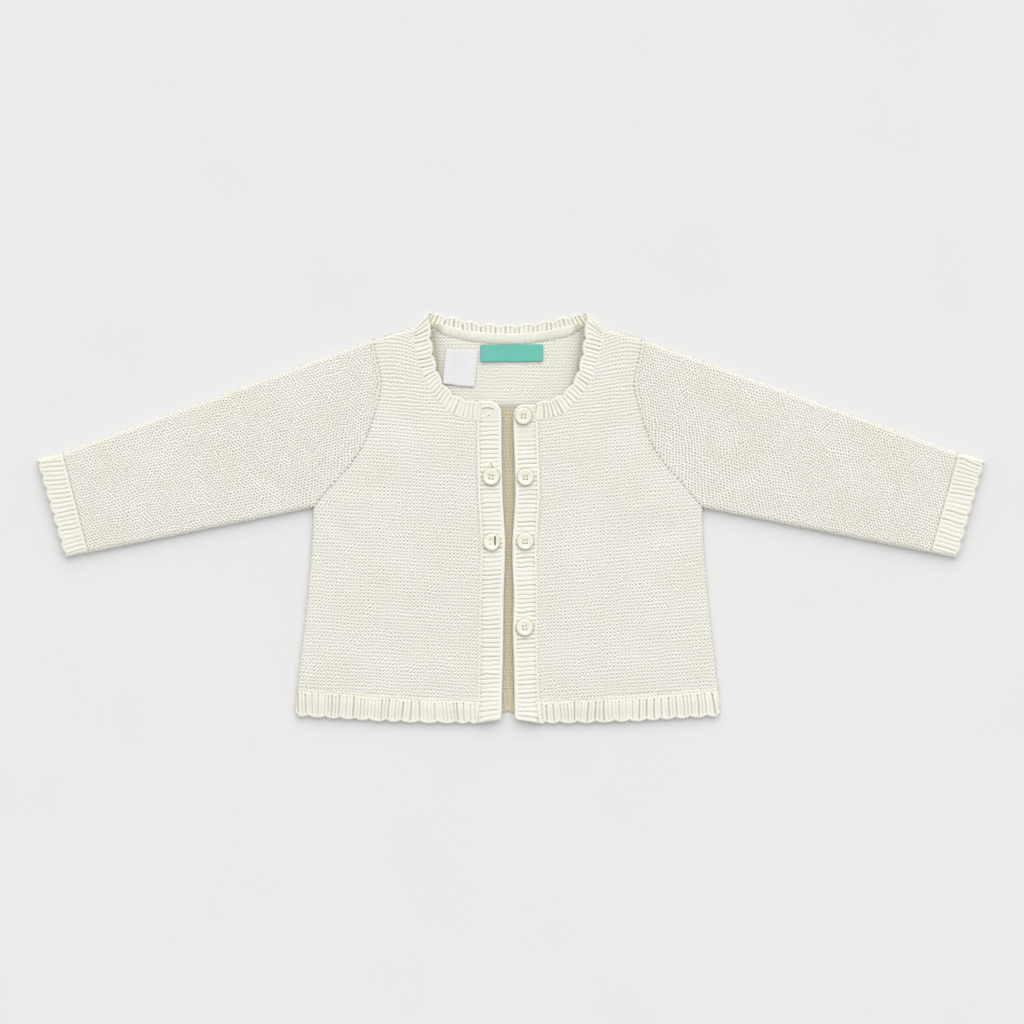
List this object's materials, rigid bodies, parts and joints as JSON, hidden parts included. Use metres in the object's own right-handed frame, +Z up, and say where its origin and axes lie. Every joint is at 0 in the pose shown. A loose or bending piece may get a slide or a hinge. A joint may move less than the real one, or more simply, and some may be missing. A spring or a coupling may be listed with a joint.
{
  "type": "baby cardigan (shrug)",
  "caption": "Long-sleeved knitted baby cardigan laid flat, with scalloped rib trims, a round neck, an open button front and blank inside labels.",
  "frame": {"origin": "middle of the footprint, on the surface that the cardigan lies on", "axes": "+X towards the wearer's left cuff, +Y from the hem to the neck, +Z up from the surface"},
  "size_m": [0.6642, 0.2884, 0.0094],
  "materials": {
    "cream_knit": "matte cotton knit with small pits between the stitches",
    "cream_rib": "matte cotton rib knit",
    "cream_tape": "smooth cotton tape",
    "mint_woven": "dense woven label, slight sheen",
    "white_satin": "white satin ribbon",
    "cream_plastic": "polished cream button"
  },
  "bodies": {
    "root": {"back_panel": "cream_knit", "button_1": "cream_plastic", "button_2": "cream_plastic", "button_3": "cream_plastic", "button_4": "cream_plastic", "button_5": "cream_plastic", "button_6": "cream_plastic", "cuff_left": "cream_rib", "cuff_right": "cream_rib", "front_left": "cream_knit", "front_right": "cream_knit", "hem_back": "cream_rib", "hem_front_left": "cream_rib", "hem_front_right": "cream_rib", "label_care": "white_satin", "label_woven": "mint_woven", "neck_tape": "cream_tape", "neckband": "cream_rib", "placket_left": "cream_rib", "placket_right": "cream_rib", "sleeve_left": "cream_knit", "sleeve_right": "cream_knit"}
  },
  "joints": []
}
